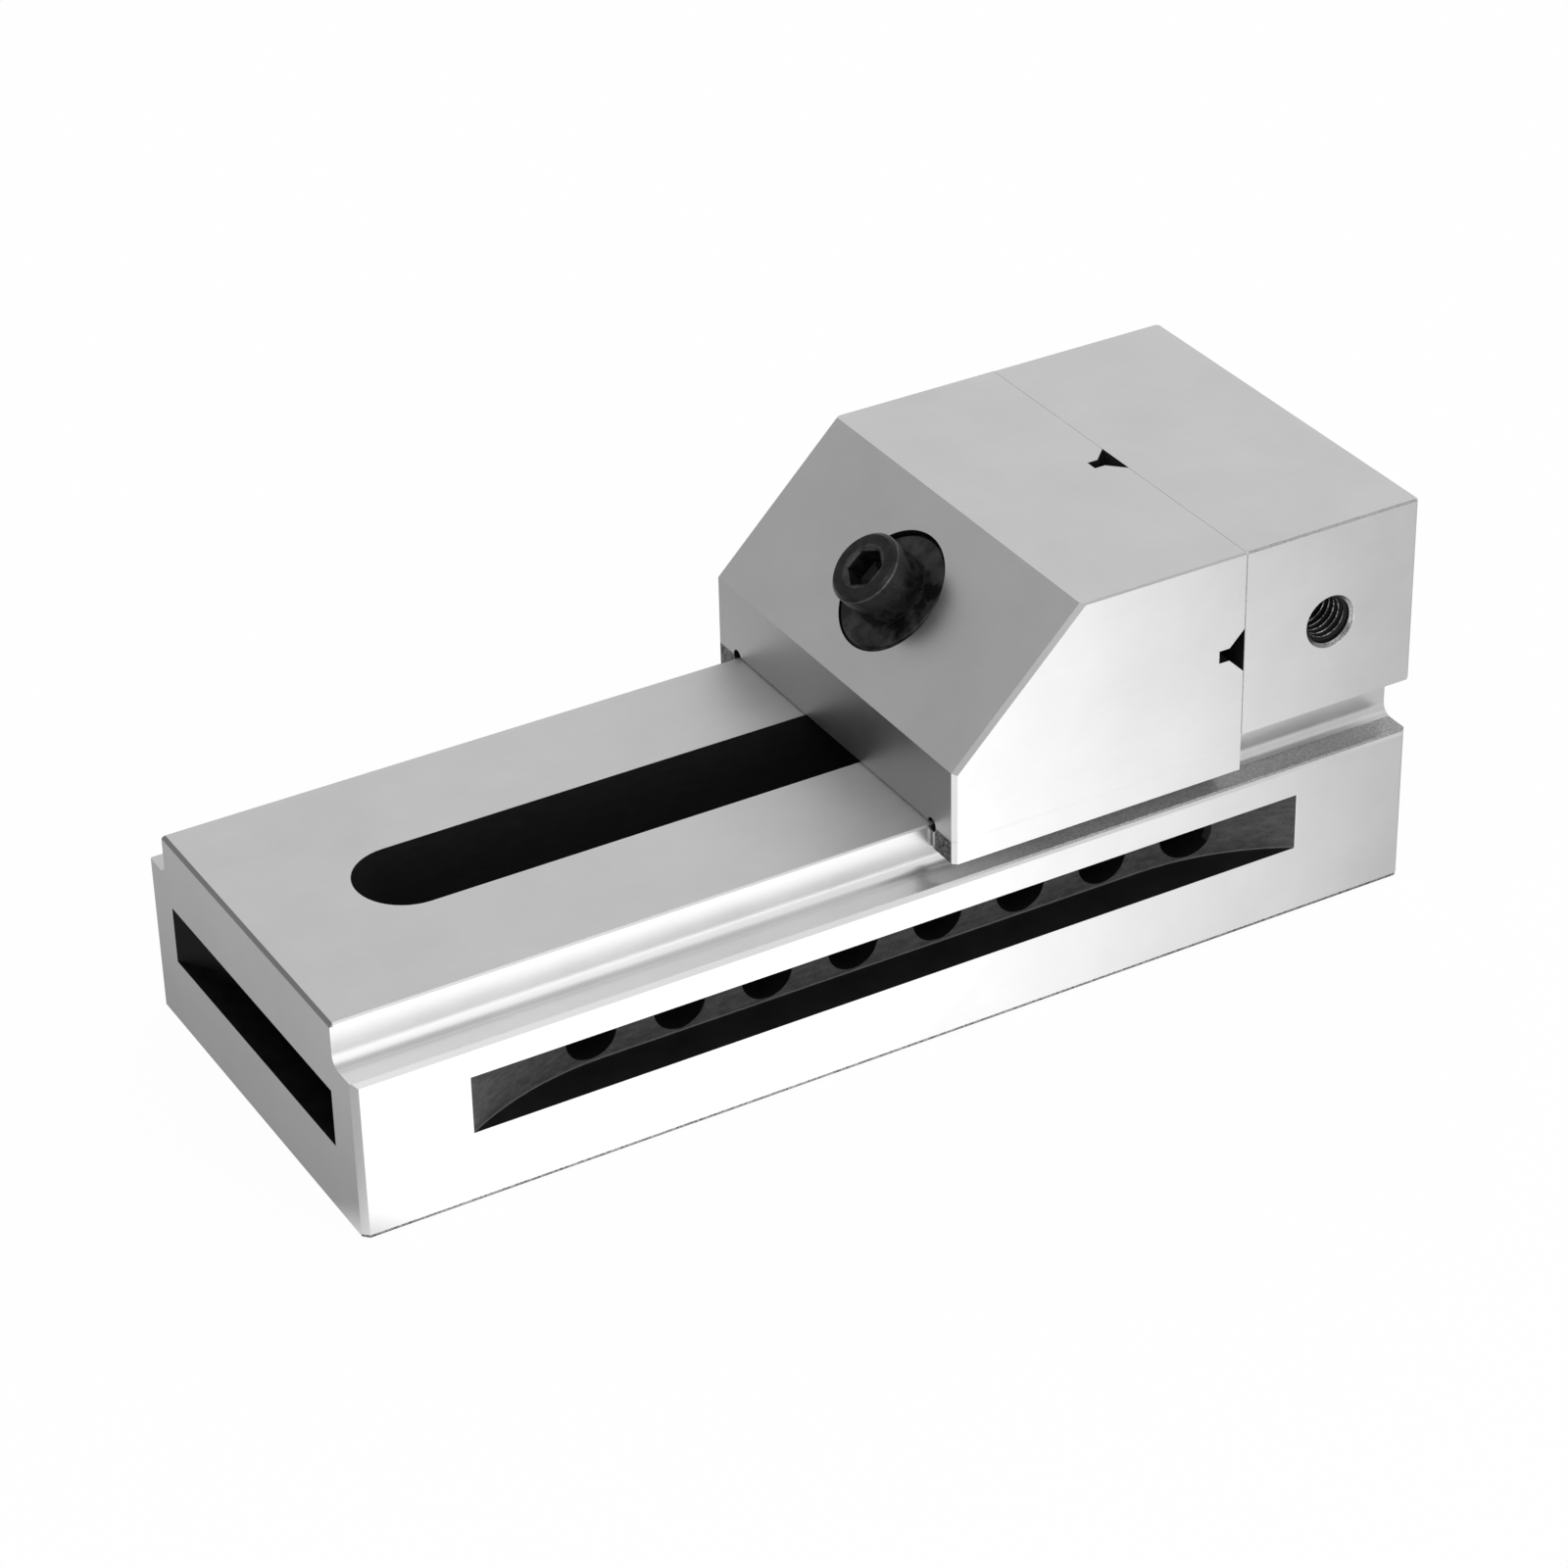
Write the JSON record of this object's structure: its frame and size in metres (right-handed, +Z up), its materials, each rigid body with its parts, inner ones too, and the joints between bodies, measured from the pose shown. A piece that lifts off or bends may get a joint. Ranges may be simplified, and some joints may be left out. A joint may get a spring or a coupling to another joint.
{
  "type": "precision vise",
  "caption": "Low screwless toolmaker's vise: ground bed with fixed jaw, bevelled sliding jaw, angled cap screw on a ball washer and a cross pin that hooks under the bed.",
  "frame": {"origin": "centre of the underside that stands on the table", "axes": "+X along the bed towards the fixed jaw, +Y across the bed, +Z up"},
  "size_m": [0.188, 0.073, 0.07],
  "materials": {
    "ground_steel": "surface ground, fine straight grain",
    "black_oxide": "black oxide, slightly oily",
    "pin_steel": "turned and hardened, unpolished",
    "spring_wire": "drawn wire"
  },
  "bodies": {
    "base": {"body": "ground_steel"},
    "jaw": {"movable_jaw": "ground_steel"},
    "swivel": {"spherical_washer": "black_oxide", "return_spring": "spring_wire"},
    "screw": {"clamp_screw": "black_oxide"},
    "pin": {"cross_pin": "pin_steel"}
  },
  "joints": [
    {"name": "jaw_slide", "type": "slide", "parent": "base", "child": "jaw", "axis": [-1, 0, 0], "range_m": [0, 0.0918]},
    {"name": "screw_swing", "type": "hinge", "parent": "jaw", "child": "swivel", "pos_m": [0.02012, 0, 0.05775], "axis": [0, 1, 0], "range_deg": [0, 9]},
    {"name": "screw_turn", "type": "hinge", "parent": "swivel", "child": "screw", "pos_m": [0.02012, 0, 0.05775], "axis": [0.6601, 0, -0.7512], "range_deg": [0, 1160]},
    {"name": "pin_lift", "type": "slide", "parent": "swivel", "child": "pin", "axis": [-0.6601, 0, 0.7512], "range_m": [0, 0.00404], "deforming": ["return_spring"]}
  ],
  "couplings": [
    {"joint": "pin_lift", "follows": "screw_turn", "m_per_rad": 0.00019894}
  ]
}
